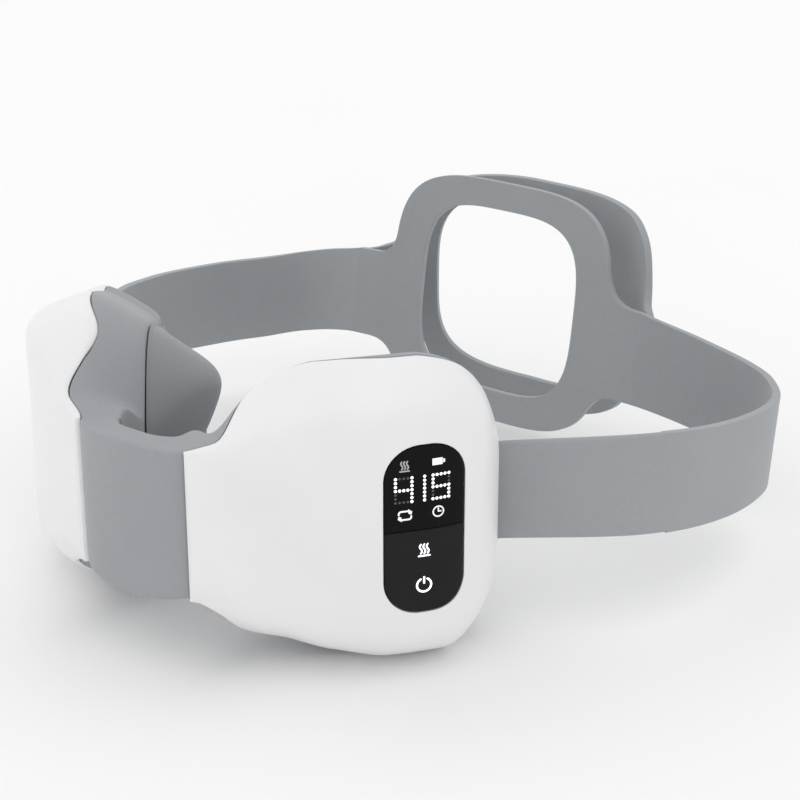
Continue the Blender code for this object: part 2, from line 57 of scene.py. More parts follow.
WIN_C = ((WIN_S0 + WIN_S1) / 2, (WIN_Z0 + WIN_Z1) / 2)
RING_Y, RING_LEAN, RING_ZC, EAR_Z = 151.5, -0.15, 46.7, 41.0


# ------------------------------------------------------------------ shape rules
def smooth(a, b, x):
    t = np.clip((np.asarray(x, float) - a) / (b - a), 0, 1)
    return t * t * (3 - 2 * t)


def soft_max(a, b, k):
    m = np.maximum(a, b)
    return m + k * np.log(np.exp((a - m) / k) + np.exp((b - m) / k))


def half_height(s):
    s = np.asarray(s, float)
    d = np.clip(np.abs(s - CEN_S) / HALF_S, 0, 1)
    n = np.where(s < CEN_S, 2.7, 3.3)
    body = 39.1 * np.maximum(0, 1 - d ** n) ** (1 / n)
    neck = NECK_H + 0.55 * (np.hypot(s, 2.0) - 2.0)
    h = body + (soft_max(body, neck, 3.0) - body) * (1 - smooth(12, 26, s))
    return np.where((s < 0) | (s > POD_LEN), 0.0, np.minimum(ZC, h))


def rim_wave(s):
    """How far the white edge wanders outward (+) or back (-) of the rim plane, along the upper and lower sides."""
    s = np.asarray(s, float)
    return (3.6 * np.exp(-((s - 8.0) / 4.2) ** 2) - 2.9 * np.exp(-((s - 20.5) / 6.5) ** 2)
            + 1.8 * smooth(36, 50, s) * (1 - smooth(58, 70, s))) * smooth(0.0, 3.0, s)


def rim_at(s, z):
    h = np.maximum(half_height(s), 1e-6)
    return rim_wave(s) * np.clip(np.abs(np.asarray(z, float) - ZC) / h, 0, 1) ** 6


def ridge(s):
    s = np.asarray(s, float)
    rise = 1 - (1 - np.clip(s / 41.0, 0, 1)) ** 1.9
    fall = np.maximum(0, 1 - np.clip((s - 41.0) / (POD_LEN - 41.0), 0, 1) ** 3.8) ** 0.64
    return (DOME - 1.6) * rise * fall


def dome(s, z):
    s, z = np.asarray(s, float), np.asarray(z, float)
    h = half_height(s)
    v = np.clip(np.abs(z - ZC) / np.maximum(h, 1e-6), 0, 1)
    t = np.clip((v - 0.65) / 0.35, 0, 1)
    return 1.6 + rim_wave(s) * v ** 6 + ridge(s) * (1 - t ** np.where(z < ZC, 2.3, 3.0))


def settle(side, s, w, z):
    """Trims a pod place's height, as the rear narrows upwards and one pod's temple corner drops."""
    h = half_height(s)
    taper = 8.6 * (1 + 0.5 * np.exp(-((s - 14) / 7.0) ** 2)) * smooth(2, 12, s)
    less = taper * (np.clip(-w, 0, 15) / 14.0) ** 1.25
    if side < 0:
        less = less + 7.0 * smooth(32, 60, s) * (1 - smooth(64, 73, s))
    up = ZC + (z - ZC) * (1 - less / np.maximum(h, 22.0))
    low = h - 4.2 * (1 - smooth(26, 46, s)) * smooth(8, 24, s) + 1.5 * smooth(48, 58, s) * (1 - smooth(62, 70, s))
    down = ZC + (z - ZC) * (1 - (h - np.minimum(ZC, low)) / np.maximum(h, 22.0))
    return np.where(h < 1, z, np.where(z > ZC, up, down))


def pod(side, s, w, z, raw=False):
    """Pod place to metres in the object's frame."""
    s, w, z = np.broadcast_arrays(np.asarray(s, float), np.asarray(w, float), np.asarray(z, float))
    if not raw:
        z = settle(side, s, w, z)
    return np.stack([side * (BX + s * CA + w * SA), s * SA - w * CA - Y_MID, z], -1) * MM


def reach_all(inside, cx, cz, ang, far=140.0):
    lo, hi = np.zeros(len(ang)), np.full(len(ang), far)
    for _ in range(46):
        m = (lo + hi) / 2
        ok = inside(cx + m * np.cos(ang), cz + m * np.sin(ang))
        lo, hi = np.where(ok, m, lo), np.where(ok, hi, m)
    return lo


def in_pod(s, z):
    return (s >= 0) & (s <= POD_LEN) & (np.abs(z - ZC) <= half_height(s))


# ------------------------------------------------------------------ mesh helpers
def obj_from(name, verts, faces, smooth_deg=35.0):
    me = bpy.data.meshes.new(name)
    me.from_pydata([tuple(v) for v in verts], [], [tuple(f) for f in faces])
    me.validate()
    bm = bmesh.new()
    bm.from_mesh(me)
    bmesh.ops.remove_doubles(bm, verts=bm.verts, dist=1e-7)
    bmesh.ops.recalc_face_normals(bm, faces=bm.faces)
    bm.to_mesh(me)
    bm.free()
    me.shade_smooth()
    if smooth_deg:
        me.set_sharp_from_angle(angle=math.radians(smooth_deg))
    o = bpy.data.objects.new(name, me)
    bpy.context.scene.collection.objects.link(o)
    return o


def rings_faces(n_rings, n, close_start=True, close_end=True, wrap=False):
    """Quads between rings; n_rings * n points come first, then a pole for each closed end."""
    faces = []
    for k in range(n_rings - (0 if wrap else 1)):
        q = (k + 1) % n_rings
        for i in range(n):
            j = (i + 1) % n
            faces.append((k * n + i, k * n + j, q * n + j, q * n + i))
    c = n_rings * n
    if close_start:
        faces += [(c, (i + 1) % n, i) for i in range(n)]
        c += 1
    if close_end:
        last = (n_rings - 1) * n
        faces += [(c, last + i, last + (i + 1) % n) for i in range(n)]
    return faces


def apply_mods(o):
    dg = bpy.context.evaluated_depsgraph_get()
    me = bpy.data.meshes.new_from_object(o.evaluated_get(dg), depsgraph=dg)
    old = o.data
    o.modifiers.clear()
    o.data = me
    bpy.data.meshes.remove(old)


def boolean(o, cutter, how="DIFFERENCE"):
    m = o.modifiers.new("b", "BOOLEAN")
    m.operation, m.solver, m.object = how, "EXACT", cutter
    apply_mods(o)
    bpy.data.objects.remove(cutter, do_unlink=True)


def rounded_rect(s0, s1, z0, z1, r, ang):
    """Reach of a rounded rectangle from its middle, at each angle."""
    cs, cz = (s0 + s1) / 2, (z0 + z1) / 2
    a, b = (s1 - s0) / 2, (z1 - z0) / 2

    def inside(s, z):
        x, y = np.abs(s - cs), np.abs(z - cz)
        core = np.hypot(np.maximum(0, x - (a - r)), np.maximum(0, y - (b - r))) <= r
        return (x <= a) & (y <= b) & core
    return reach_all(inside, cs, cz, ang, 60.0)


# ------------------------------------------------------------------ materials
def new_mat(name):
    m = bpy.data.materials.new(name)
    m.use_nodes = True
    nt = m.node_tree
    b = nt.nodes["Principled BSDF"]
    return m, nt, b


def tex_coord(nt, scale, kind="Object"):
    tc = nt.nodes.new("ShaderNodeTexCoord")
    mp = nt.nodes.new("ShaderNodeMapping")
    mp.inputs["Scale"].default_value = scale if hasattr(scale, "__len__") else (scale,) * 3
    nt.links.new(tc.outputs[kind], mp.inputs["Vector"])
    return mp.outputs["Vector"]


def noise(nt, vec, scale, detail=4.0, rough=0.5):
    n = nt.nodes.new("ShaderNodeTexNoise")
    n.inputs["Scale"].default_value = scale
    n.inputs["Detail"].default_value = detail
    n.inputs["Roughness"].default_value = rough
    nt.links.new(vec, n.inputs["Vector"])
    return n.outputs["Fac"]


def ramp(nt, fac, stops):
    r = nt.nodes.new("ShaderNodeValToRGB")
    el = r.color_ramp.elements
    while len(el) < len(stops):
        el.new(0.5)
    for e, (p, c) in zip(el, stops):
        e.position = p
        e.color = (*c, 1) if hasattr(c, "__len__") else (c, c, c, 1)
    nt.links.new(fac, r.inputs["Fac"])
    return r.outputs["Color"]


def map_range(nt, fac, a, b, lo, hi):
    n = nt.nodes.new("ShaderNodeMapRange")
    for k, v in zip(("From Min", "From Max", "To Min", "To Max"), (a, b, lo, hi)):
        n.inputs[k].default_value = v
    nt.links.new(fac, n.inputs["Value"])
    return n.outputs["Result"]


def bump(nt, b, height, strength, distance):
    n = nt.nodes.new("ShaderNodeBump")
    n.inputs["Strength"].default_value = strength
    n.inputs["Distance"].default_value = distance
    nt.links.new(height, n.inputs["Height"])
    prev = b.inputs["Normal"].links
    if prev:
        nt.links.new(prev[0].from_socket, n.inputs["Normal"])
    nt.links.new(n.outputs["Normal"], b.inputs["Normal"])


def white_plastic():
    m, nt, b = new_mat("white_shell")
    v = tex_coord(nt, 1.0)
    cloud = noise(nt, v, 28.0, 3.0)
    c = ramp(nt, cloud, [(0.3, (0.80, 0.80, 0.81)), (0.7, (0.84, 0.84, 0.85))])
    nt.links.new(c, b.inputs["Base Color"])
    fine = noise(nt, v, 240.0, 4.0, 0.6)
    r = map_range(nt, fine, 0.3, 0.7, 0.30, 0.40)
    nt.links.new(r, b.inputs["Roughness"])
    peel = noise(nt, v, 700.0, 2.0)
    bump(nt, b, peel, 0.05, 0.0002)
    b.inputs["Coat Weight"].default_value = 0.25
    b.inputs["Coat Roughness"].default_value = 0.22
    b.inputs["Subsurface Weight"].default_value = 0.04
    b.inputs["Subsurface Radius"].default_value = (0.002, 0.002, 0.002)
    b.inputs["Subsurface Scale"].default_value = 1.0
    return m


def soft_grey(name, lo, hi, rough=(0.52, 0.66), grain=1900.0, grain_up=0.16, weave=False, sheen=0.12):
    m, nt, b = new_mat(name)
    v = tex_coord(nt, 1.0)
    cloud = noise(nt, v, 22.0, 4.0, 0.55)
    fleck = noise(nt, v, 900.0, 3.0, 0.6)
    mx = nt.nodes.new("ShaderNodeMath")
    mx.operation = "MULTIPLY_ADD"
    mx.inputs[1].default_value = 0.35
    nt.links.new(fleck, mx.inputs[0])
    half = map_range(nt, cloud, 0.0, 1.0, 0.0, 0.65)
    nt.links.new(half, mx.inputs[2])
    c = ramp(nt, mx.outputs[0], [(0.32, lo), (0.68, hi)])
    nt.links.new(c, b.inputs["Base Color"])
    r = map_range(nt, cloud, 0.3, 0.7, *rough)
    nt.links.new(r, b.inputs["Roughness"])
    g = nt.nodes.new("ShaderNodeTexVoronoi")
    g.inputs["Scale"].default_value = grain
    nt.links.new(v, g.inputs["Vector"])
    bump(nt, b, g.outputs["Distance"], grain_up, 0.00012)
    if weave:
        for k, ax in enumerate(("X", "Z")):
            w = nt.nodes.new("ShaderNodeTexWave")
            w.wave_type, w.bands_direction = "BANDS", ax
            w.inputs["Scale"].default_value = 420.0
            w.inputs["Distortion"].default_value = 0.6
            nt.links.new(v, w.inputs["Vector"])
            bump(nt, b, w.outputs["Fac"], 0.06, 0.0001)
    b.inputs["Sheen Weight"].default_value = sheen
    b.inputs["Sheen Roughness"].default_value = 0.5
    b.inputs["Specular IOR Level"].default_value = 0.35
    return m


def black_glass():
    m, nt, b = new_mat("black_window")
    v = tex_coord(nt, 1.0)
    d = noise(nt, v, 60.0, 3.0)
    c = ramp(nt, d, [(0.3, (0.0016, 0.0016, 0.0018)), (0.7, (0.0024, 0.0024, 0.0026))])
    nt.links.new(c, b.inputs["Base Color"])
    r = map_range(nt, noise(nt, v, 300.0, 4.0), 0.3, 0.7, 0.10, 0.16)
    nt.links.new(r, b.inputs["Roughness"])
    b.inputs["Specular IOR Level"].default_value = 0.12
    b.inputs["Coat Weight"].default_value = 0.0
    return m


def charcoal_key():
    m, nt, b = new_mat("charcoal_key")
    v = tex_coord(nt, 1.0)
    d = noise(nt, v, 80.0, 3.0)
    c = ramp(nt, d, [(0.3, (0.0095, 0.0095, 0.010)), (0.7, (0.012, 0.012, 0.0125))])
    nt.links.new(c, b.inputs["Base Color"])
    r = map_range(nt, noise(nt, v, 500.0, 4.0), 0.3, 0.7, 0.30, 0.40)
    nt.links.new(r, b.inputs["Roughness"])
    bump(nt, b, noise(nt, v, 1600.0, 2.0), 0.05, 0.0001)
    b.inputs["Specular IOR Level"].default_value = 0.15
    return m


def glow(name, rgb, power):
    m, nt, b = new_mat(name)
    v = tex_coord(nt, 1.0)
    c = ramp(nt, noise(nt, v, 900.0, 2.0), [(0.3, tuple(0.93 * x for x in rgb)), (0.7, rgb)])
    nt.links.new(c, b.inputs["Base Color"])
    nt.links.new(c, b.inputs["Emission Color"])
    b.inputs["Emission Strength"].default_value = power
    b.inputs["Roughness"].default_value = 0.4
    return m


def metal(name, lo, hi, rough, stretch=(40, 40, 900)):
    m, nt, b = new_mat(name)
    v = tex_coord(nt, stretch)
    n = noise(nt, v, 1.0, 4.0, 0.6)
    nt.links.new(ramp(nt, n, [(0.3, lo), (0.7, hi)]), b.inputs["Base Color"])
    nt.links.new(map_range(nt, n, 0.3, 0.7, rough, rough + 0.15), b.inputs["Roughness"])
    b.inputs["Metallic"].default_value = 1.0
    bump(nt, b, n, 0.08, 0.00005)
    return m


def moulded(name, lo, hi, rough=0.5, scale=1400.0):
    m, nt, b = new_mat(name)
    v = tex_coord(nt, 1.0)
    n = noise(nt, v, 90.0, 4.0)
    nt.links.new(ramp(nt, n, [(0.3, lo), (0.7, hi)]), b.inputs["Base Color"])
    nt.links.new(map_range(nt, n, 0.3, 0.7, rough - 0.05, rough + 0.08), b.inputs["Roughness"])
    bump(nt, b, noise(nt, v, scale, 2.0), 0.12, 0.0001)
    return m


WHITE = white_plastic()
HOUSE = soft_grey("soft_touch_grey", (0.302, 0.316, 0.334), (0.338, 0.352, 0.370), grain=2300.0)
STRAP = soft_grey("strap_grey", (0.302, 0.320, 0.336), (0.340, 0.358, 0.374), rough=(0.58, 0.72), grain=1500.0, weave=True, sheen=0.2)
# cushion grey is a darker copy of the housing grey: painted shade for the cushion wall that faces away from the light
CUSH_PAINTED_SHADE = soft_grey("cushion_skin", (0.240, 0.254, 0.268), (0.272, 0.286, 0.300), rough=(0.55, 0.7), grain=1100.0, grain_up=0.3, sheen=0.15)
GLASS = black_glass()
KEY = charcoal_key()
LIT = glow("lit_white", (0.92, 0.95, 1.0), 0.9)
DIM = glow("dim_dot", (0.05, 0.052, 0.055), 0.6)
ICON = glow("icon_white", (0.86, 0.88, 0.90), 0.35)
ICON_GREY = glow("icon_grey", (0.30, 0.31, 0.32), 0.5)
SEAM = moulded("seam_shadow", (0.05, 0.052, 0.055), (0.06, 0.062, 0.066), 0.8)
STEEL = metal("plain_steel", (0.50, 0.51, 0.53), (0.62, 0.63, 0.65), 0.25)
BOARD = moulded("green_board", (0.010, 0.10, 0.035), (0.018, 0.14, 0.05), 0.45)
FILM = moulded("amber_film", (0.42, 0.20, 0.05), (0.50, 0.26, 0.08), 0.4)
CELL = metal("pouch_cell", (0.60, 0.62, 0.64), (0.72, 0.74, 0.76), 0.35, (300, 300, 300))
DARK = moulded("dark_moulding", (0.03, 0.03, 0.033), (0.045, 0.045, 0.048), 0.5)


def dress(o, mat, body=None):
    o.data.materials.clear()
    o.data.materials.append(mat)
    if body:
        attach(o, body)
    return o


# ------------------------------------------------------------------ shells
N_SH = 300
SH_ANG = 2 * np.pi * (np.arange(N_SH) + 0.5) / N_SH
# keep the neck's two corners on a spoke
for corner in (NECK_H, -NECK_H):
    a = math.atan2(ZC + corner - WIN_C[1], -WIN_C[0]) % (2 * math.pi)
    SH_ANG[np.argmin(np.abs(SH_ANG - a))] = a
SH_OUT = reach_all(in_pod, WIN_C[0], WIN_C[1], SH_ANG)
SH_WIN = rounded_rect(WIN_S0 - 0.22, WIN_S1 + 0.22, WIN_Z0 - 0.22, WIN_Z1 + 0.22, WIN_R + 0.22, SH_ANG)


def polar(share):
    """Pod places at a share of the way from the window's edge to the pod's outline."""
    r = SH_WIN + (SH_OUT - SH_WIN) * share
    return WIN_C[0] + r * np.cos(SH_ANG), WIN_C[1] + r * np.sin(SH_ANG)


def inset_out(mm):
    r = SH_OUT - mm
    return WIN_C[0] + r * np.cos(SH_ANG), WIN_C[1] + r * np.sin(SH_ANG)


def build_shell(side, tag, window):
    rings = []

    def add(s, z, w):
        rings.append(pod(side, s, w, z))
    # inner face first, from the middle outwards
    inner = [0.0, 0.2, 0.45, 0.65, 0.8, 0.9, 0.96, 0.99]
    so, zo = inset_out(0)
    si, zi = inset_out(2.0)
    win_r = SH_WIN

    def in_polar(t):
        r = win_r + (SH_OUT - 2.0 - win_r) * t
        return WIN_C[0] + r * np.cos(SH_ANG), WIN_C[1] + r * np.sin(SH_ANG)
    rim = rim_wave(so)
    if not window:
        for t in (0.3, 0.7):
            s = WIN_C[0] + win_r * t * np.cos(SH_ANG)
            z = WIN_C[1] + win_r * t * np.sin(SH_ANG)
            add(s, z, dome(s, z) - 2.2)
    for t in inner:
        s, z = in_polar(t)
        add(s, z, np.minimum(np.maximum(0.35 + rim, dome(s, z) - 2.2), dome(s, z) - 1.1))
    add(si, zi, rim + 0.0)
    # rim, with a small round on its outer edge
    s, z = inset_out(0.5)
    add(s, z, rim + 0.0)
    s, z = inset_out(0.12)
    add(s, z, rim + 0.12)
    add(so, zo, rim + 0.5)
    add(so, zo, 0.5 * (rim + dome(so, zo)))
    add(so, zo, dome(so, zo) - 0.45)
    for mm_in in (0.05, 0.14, 0.28, 0.5, 0.8, 1.15, 1.6, 2.1, 2.7, 3.4, 4.2):
        s, z = inset_out(mm_in)
        f = smooth(0.0, 0.8, mm_in)
        add(s, z, dome(s, z) - 0.45 * (1 - f) ** 2)
    for share in (0.91, 0.88, 0.84, 0.79, 0.73, 0.66, 0.58, 0.50, 0.42, 0.34, 0.26, 0.18, 0.11, 0.055, 0.02):
        r = SH_WIN + (SH_OUT - 4.2 - SH_WIN) * share
        s, z = WIN_C[0] + r * np.cos(SH_ANG), WIN_C[1] + r * np.sin(SH_ANG)
        add(s, z, dome(s, z))
    if window:
        # a rounded lip round the window
        for out_mm, down in ((0.26, 0.0), (0.12, 0.03), (0.03, 0.12), (0.0, 0.28), (0.0, 1.0), (0.0, 2.2)):
            r = SH_WIN + out_mm
            s, z = WIN_C[0] + r * np.cos(SH_ANG), WIN_C[1] + r * np.sin(SH_ANG)
            add(s, z, dome(s, z) - down)
        v = np.concatenate(rings)
        o = obj_from(f"shell_skin_{tag}", v, rings_faces(len(rings), N_SH, False, False, wrap=True), 40)
    else:
        for t in (1.0, 0.75, 0.45, 0.2):
            s = WIN_C[0] + SH_WIN * t * np.cos(SH_ANG)
            z = WIN_C[1] + SH_WIN * t * np.sin(SH_ANG)
            add(s, z, dome(s, z))
        low = pod(side, WIN_C[0], dome(*WIN_C) - 2.2, WIN_C[1]).reshape(1, 3)
        top = pod(side, WIN_C[0], dome(*WIN_C), WIN_C[1]).reshape(1, 3)
        v = np.concatenate(rings + [low, top])
        o = obj_from(f"shell_skin_{tag}", v, rings_faces(len(rings), N_SH), 40)
    dress(o, WHITE, f"{tag}_pod")
    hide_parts(f"shell_{tag}")
    return o


# ------------------------------------------------------------------ housing and bridge, one skin for each side
NECK_W = -3.6
NX, NY = BX + NECK_W * SA, -NECK_W * CA
PULL = 7.0


def bridge_at(t):
    p = np.array([(-NX, NY), (-NX + PULL * CA, NY - PULL * SA), (NX - PULL * CA, NY - PULL * SA), (NX, NY)])
    c = np.array([(1 - t) ** 3, 3 * t * (1 - t) ** 2, 3 * t * t * (1 - t), t ** 3])
    d = np.array([-3 * (1 - t) ** 2, 3 * (1 - t) ** 2 - 6 * t * (1 - t), 6 * t * (1 - t) - 3 * t * t, 3 * t * t])
    q, e = c @ p, d @ p
    e = e / np.hypot(*e)
    return q, e


FLARE = 2.6


def depth_at(s):
    return 7.2 + FLARE + (BACK - 7.2 - FLARE) * smooth(0.5, 12.0, s)


def round_section(front, back, half, r_front, r_back, lip=0.0, n=7, rows=22):
    """Closed section in (w, z - ZC): front face, round corners, back face."""
    pts = []
    for k in range(n):                       # front top corner
        a = math.pi / 2 * k / (n - 1)
        pts.append((front + lip - r_front + r_front * math.cos(a), half - r_front + r_front * math.sin(a)))
    top = np.linspace(front + lip - r_front, back + r_back, 8)[1:-1]
    pts += [(w, half) for w in top]
    for k in range(n):
        a = math.pi / 2 * k / (n - 1)
        pts.append((back + r_back - r_back * math.sin(a), half - r_back + r_back * math.cos(a)))
    for z in np.linspace(half - r_back, -half + r_back, rows)[1:-1]:
        pts.append((back, z))
    for k in range(n):
        a = math.pi / 2 * k / (n - 1)
        pts.append((back + r_back - r_back * math.cos(a), -half + r_back - r_back * math.sin(a)))
    pts += [(w, -half) for w in top[::-1]]
    for k in range(n):
        a = math.pi / 2 * k / (n - 1)
        pts.append((front + lip - r_front + r_front * math.sin(a), -half + r_front - r_front * math.cos(a)))
    edge = half - r_front
    for z in np.linspace(-edge, edge, rows)[1:-1]:
        fall = smooth(edge - 2.2, edge - 1.2, abs(z)) if edge > 3 else 1.0
        pts.append((front + lip * float(fall), z))
    return np.array(pts)


def build_housing(side, tag):
    rings = []
    for i in range(40):                      # half of the bridge
        t = 0.5 + 0.5 * i / 40
        q, e = bridge_at(t)
        half = NECK_H + 1.0 * math.sin(math.pi * t) ** 2
        sec = round_section(3.6, -3.6 - FLARE * float(smooth(0.60, 1.0, t)), half, 0.9, 0.9)
        x, y = q[0] + e[1] * sec[:, 0], q[1] - e[0] * sec[:, 0]
        rings.append(np.stack([side * x, y - Y_MID, sec[:, 1] + ZC], -1) * MM)
    h_end = [36.0, 34.0, 31.5, 29.0, 26.0, 23.0, 20.0, 17.0, 14.0, 11.0, 8.0, 5.0, 2.6]
    cols = list(np.linspace(0, 24, 34)) + list(np.linspace(25.2, 60, 22))
    tail = [CEN_S + HALF_S * (1 - (h / 39.1) ** 3.3) ** (1 / 3.3) for h in h_end]
    cols += [c for c in tail if c > 60.5]
    for s in cols:
        half = float(half_height(s))
        d = float(depth_at(s))
        lip = float(rim_wave(s))
        r_b = min(0.9 + 1.5 * float(smooth(0, 14, s)), half * 0.45)
        r_f = min(0.9 - 0.65 * float(smooth(0, 3, s)), half * 0.3)
        front = 0.0 - 0.3 * float(smooth(0, 1.0, s))
        sec = round_section(front, -d, half, r_f, r_b, lip)
        rings.append(pod(side, np.full(len(sec), s), sec[:, 0], sec[:, 1] + ZC))
    n = len(rings[0])
    v = np.concatenate(rings)
    faces = rings_faces(len(rings), n, False, False)
    faces.append(tuple(range(n)))
    faces.append(tuple((len(rings) - 1) * n + i for i in range(n)))
    o = obj_from(f"housing_skin_{tag}", v, faces, 42)
    # hollow out the tray and the strap's slot
    a = 2 * np.pi * np.arange(96) / 96
    r = reach_all(in_pod, CEN_S, ZC, a) - 2.2
    s, z = CEN_S + r * np.cos(a), ZC + r * np.sin(a)
    keep = np.maximum(s, 2.6)
    rr = [pod(side, keep, np.full(96, w), z) for w in (-BACK + 2.0, 9.0)]
    low = np.maximum(-depth_at(keep) + 2.0, -BACK + 2.0)
    rr[0] = pod(side, keep, low, z)
    tool = obj_from("tool", np.concatenate(rr + [pod(side, CEN_S, -BACK + 2.0, ZC).reshape(1, 3), pod(side, CEN_S, 9.0, ZC).reshape(1, 3)]), rings_faces(2, 96), 0)
    boolean(o, tool)
    c = np.array([[s_, w_, z_] for s_ in (70.0, 80.0) for w_ in (-5.4, -2.6) for z_ in (ZC - 13.3, ZC + 13.3)])
    cp = pod(side, c[:, 0], c[:, 1], c[:, 2], True)
    tool = obj_from("tool", cp, [(0, 1, 3, 2), (4, 5, 7, 6), (0, 1, 5, 4), (2, 3, 7, 6), (0, 2, 6, 4), (1, 3, 7, 5)], 0)
    boolean(o, tool)
    if side > 0:
        c = np.array([[s_, w_, z_] for s_ in (36.3, 45.7) for w_ in (-9.1, -5.3) for z_ in (-2.0, 5.0)])
        cp = pod(side, c[:, 0], c[:, 1], c[:, 2], True)
        tool = obj_from("tool", cp, [(0, 1, 3, 2), (4, 5, 7, 6), (0, 1, 5, 4), (2, 3, 7, 6), (0, 2, 6, 4), (1, 3, 7, 5)], 0)
        boolean(o, tool)
    o.data.shade_smooth()
    o.data.set_sharp_from_angle(angle=math.radians(38))
    dress(o, HOUSE)
    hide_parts(f"housing_{tag}", "bridge_band")
    y = (NY - Y_MID) * MM
    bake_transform(o)
    return o


# ------------------------------------------------------------------ cushions
CU_S, CU_A, CU_B = 42.2, 32.0, 36.2
PROFILE = np.array([(1.0, 0.0), (0.985, 0.07), (0.95, 0.16), (0.90, 0.27), (0.84, 0.40), (0.77, 0.55), (0.70, 0.71),
                    (0.63, 0.85), (0.56, 0.945), (0.48, 0.985), (0.40, 0.93), (0.30, 0.79), (0.20, 0.66), (0.10, 0.57), (0.0, 0.54)])


def cushion_face(s, z, share):
    full = 18.6 - 10.0 * smooth(30, 74, s)
    dip = 1 - 0.30 * np.exp(-((z - ZC) / 9.0) ** 2) * (1 - smooth(24, 46, s))
    w = -(BACK + 0.35) - full * share * dip
    nose = -(BX + CA * s - 11.0) / SA
    k = 1.2
    m = np.maximum(w, nose)
    lim = m + k * np.log(np.exp((w - m) / k) + np.exp((nose - m) / k)) - 0.0
    return np.minimum(np.where(share > 0.02, lim, w), -(BACK + 0.35))


def build_cushion(side, tag):
    n = 180
    ang = 2 * np.pi * np.arange(n) / n

    def inside(s, z):
        return (np.abs(s - CU_S) / CU_A) ** 2.9 + (np.abs(z - ZC) / np.where(z > ZC, CU_B + 2.0, CU_B)) ** 2.9 <= 1
    r0 = reach_all(inside, CU_S, ZC, ang)
    taus = np.concatenate([[1.0, 0.994, 0.985, 0.97], np.linspace(0.95, 0.04, 40)])
    shares = np.interp(taus, PROFILE[::-1, 0], PROFILE[::-1, 1])
    for _ in range(3):
        shares[4:-1] = 0.25 * shares[3:-2] + 0.5 * shares[4:-1] + 0.25 * shares[5:]
    rings = []
    front = -(BACK + 0.35)

    def at(tau):
        return CU_S + tau * r0 * np.cos(ang), ZC + tau * r0 * np.sin(ang)
    for tau in (0.45, 0.85, 0.97, 0.992):
        s, z = at(tau)
        rings.append(pod(side, s, np.full(n, front), z))
    s, z = at(1.0)
    rings.append(pod(side, s, np.full(n, front - 0.25), z))
    for tau, sh in zip(taus, shares):
        s, z = at(tau)
        w = cushion_face(s, z, np.full(n, sh))
        w = np.minimum(w, front - 0.5 - 0.6 * (1 - tau) * 20)if tau > 0.97 else w
        rings.append(pod(side, s, w, z))
    c0 = pod(side, CU_S, front, ZC).reshape(1, 3)
    c1 = pod(side, CU_S, cushion_face(CU_S, ZC, np.array(0.54)), ZC).reshape(1, 3)
    v = np.concatenate(rings + [c0, c1])
    o = obj_from(f"cushion_skin_{tag}", v, rings_faces(len(rings), n), 60)
    # the cushion's darker grey is painted shade, not a different material tone
    dress(o, CUSH_PAINTED_SHADE, f"{tag}_pod")
    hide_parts(f"cushion_{tag}")
    return o


# ------------------------------------------------------------------ panel: window, key and their marks
def build_panel():
    n = 240
    for name, z0, z1, mat, node, body, slot in (
            ("window_skin", WIN_SPLIT + 0.07, WIN_Z1, GLASS, "display_window", "right_pod", "window"),
            ("key_skin", WIN_Z0, WIN_SPLIT - 0.07, KEY, "rocker_key", "key", "key")):
        cs, cz = WIN_C[0], (z0 + z1) / 2
        ang = 2 * np.pi * (np.arange(n) + 0.5) / n

        def inside(s, z):
            x, y = np.abs(s - WIN_C[0]), np.abs(z - WIN_C[1])
            a, b = (WIN_S1 - WIN_S0) / 2, (WIN_Z1 - WIN_Z0) / 2
            core = np.hypot(np.maximum(0, x - (a - WIN_R)), np.maximum(0, y - (b - WIN_R))) <= WIN_R
            return (x <= a) & (y <= b) & core & (z >= z0) & (z <= z1)
        for sx in (-1, 1):                   # spokes through the square corners
            zz = z0 if node == "display_window" else z1
            a = math.atan2(zz - cz, sx * (WIN_S1 - WIN_S0) / 2) % (2 * math.pi)
            ang[np.argmin(np.abs(ang - a))] = a
        r = reach_all(inside, cs, cz, ang, 60.0)
        rings = []
        for inset, down in ((0.0, 1.5), (0.0, 0.35), (0.02, 0.16), (0.08, 0.05), (0.2, 0.0), (0.5, -0.012)):
            s, z = cs + (r - inset) * np.cos(ang), cz + (r - inset) * np.sin(ang)
            rings.append(pod(1, s, dome(s, z) + 0.02 - down, z))
        for t in np.linspace(0.92, 0.06, 16):
            s, z = cs + (r - 0.5) * t * np.cos(ang), cz + (r - 0.5) * t * np.sin(ang)
            rings.append(pod(1, s, dome(s, z) + 0.032, z))
        low = pod(1, cs, dome(cs, cz) - 1.5, cz).reshape(1, 3)
        top = pod(1, cs, dome(cs, cz) + 0.032, cz).reshape(1, 3)
        o = obj_from(name, np.concatenate(rings + [low, top]), rings_faces(len(rings), n), 40)
        dress(o, mat, body)
        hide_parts(node)


LIFT = 0.034


def marks(name, shapes, mat, body, height=0.05):
    """Thin raised marks: each shape is a closed outline of (s, z) places."""
    verts, faces = [], []
    for pts in shapes:
        pts = np.array(pts, float)
        n = len(pts)
        base = len(verts)
        for w in (-0.05, LIFT + height):
            verts += list(pod(1, pts[:, 0], dome(pts[:, 0], pts[:, 1]) + w, pts[:, 1]))
        faces.append(tuple(base + i for i in range(n)))
        faces.append(tuple(base + n + i for i in range(n)))
        faces += [(base + i, base + (i + 1) % n, base + n + (i + 1) % n, base + n + i) for i in range(n)]
    o = obj_from(name, verts, faces, 30)
    return dress(o, mat, body)


def disc(cs, cz, r, n=20):
    return [(cs + r * math.cos(2 * math.pi * i / n), cz + r * math.sin(2 * math.pi * i / n)) for i in range(n)]


